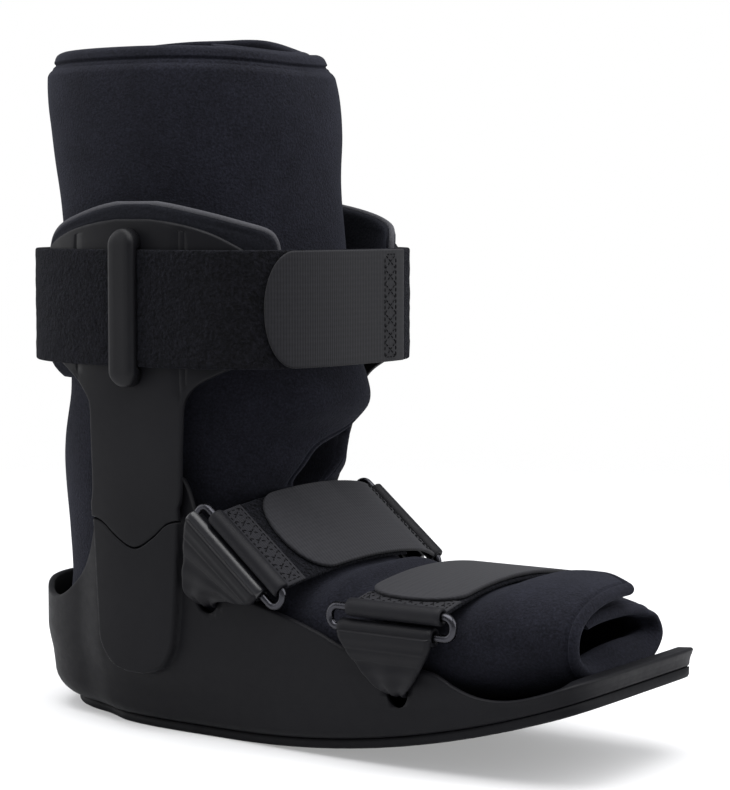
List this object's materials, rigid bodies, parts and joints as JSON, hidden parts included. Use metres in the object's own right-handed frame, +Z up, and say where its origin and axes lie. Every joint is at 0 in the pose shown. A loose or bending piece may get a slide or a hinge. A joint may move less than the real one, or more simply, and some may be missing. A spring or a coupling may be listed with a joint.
{
  "type": "medical walking boot",
  "caption": "Short orthopaedic walking boot: rocker-soled plastic shell with side uprights, padded open-toe liner and hook-and-loop straps over the calf, ankle and forefoot.",
  "frame": {"origin": "on the floor, under the middle of the object's bounding box", "axes": "+X points to the toe, +Z up, +Y to the wearer's left side of the boot"},
  "size_m": [0.3154, 0.155, 0.3078],
  "materials": {
    "shell_plastic": "moulded charcoal plastic with a fine grain",
    "outsole_rubber": "matt black tread",
    "liner_cloth": "brushed loop cloth over foam, navy black",
    "upright_plastic": "moulded charcoal plastic, smooth satin",
    "pad_foam": "brushed cloth on foam with a paler cut edge",
    "keeper_plastic": "smooth satin plastic",
    "pile_strap": "loop pile webbing, near black",
    "hook_tab": "woven hook-tape backing, mid grey",
    "ring_steel": "dark plated wire",
    "anchor_webbing": "smooth folded webbing, dark grey"
  },
  "bodies": {
    "root": {"sole_shell": "shell_plastic", "outsole": "outsole_rubber", "liner": "liner_cloth", "upright_right": "upright_plastic", "upright_left": "upright_plastic", "upright_pad_right": "pad_foam", "upright_pad_left": "pad_foam", "keeper_right": "keeper_plastic", "keeper_left": "keeper_plastic", "calf_strap": "pile_strap", "calf_strap_tab": "hook_tab", "ankle_ring_right": "ring_steel", "ankle_ring_left": "ring_steel", "ankle_anchor_right": "anchor_webbing", "ankle_anchor_left": "anchor_webbing", "ankle_strap": "pile_strap", "ankle_strap_tab": "hook_tab", "forefoot_ring_right": "ring_steel", "forefoot_ring_left": "ring_steel", "forefoot_anchor_right": "anchor_webbing", "forefoot_anchor_left": "anchor_webbing", "forefoot_strap": "pile_strap", "forefoot_strap_tab": "hook_tab"}
  },
  "joints": []
}
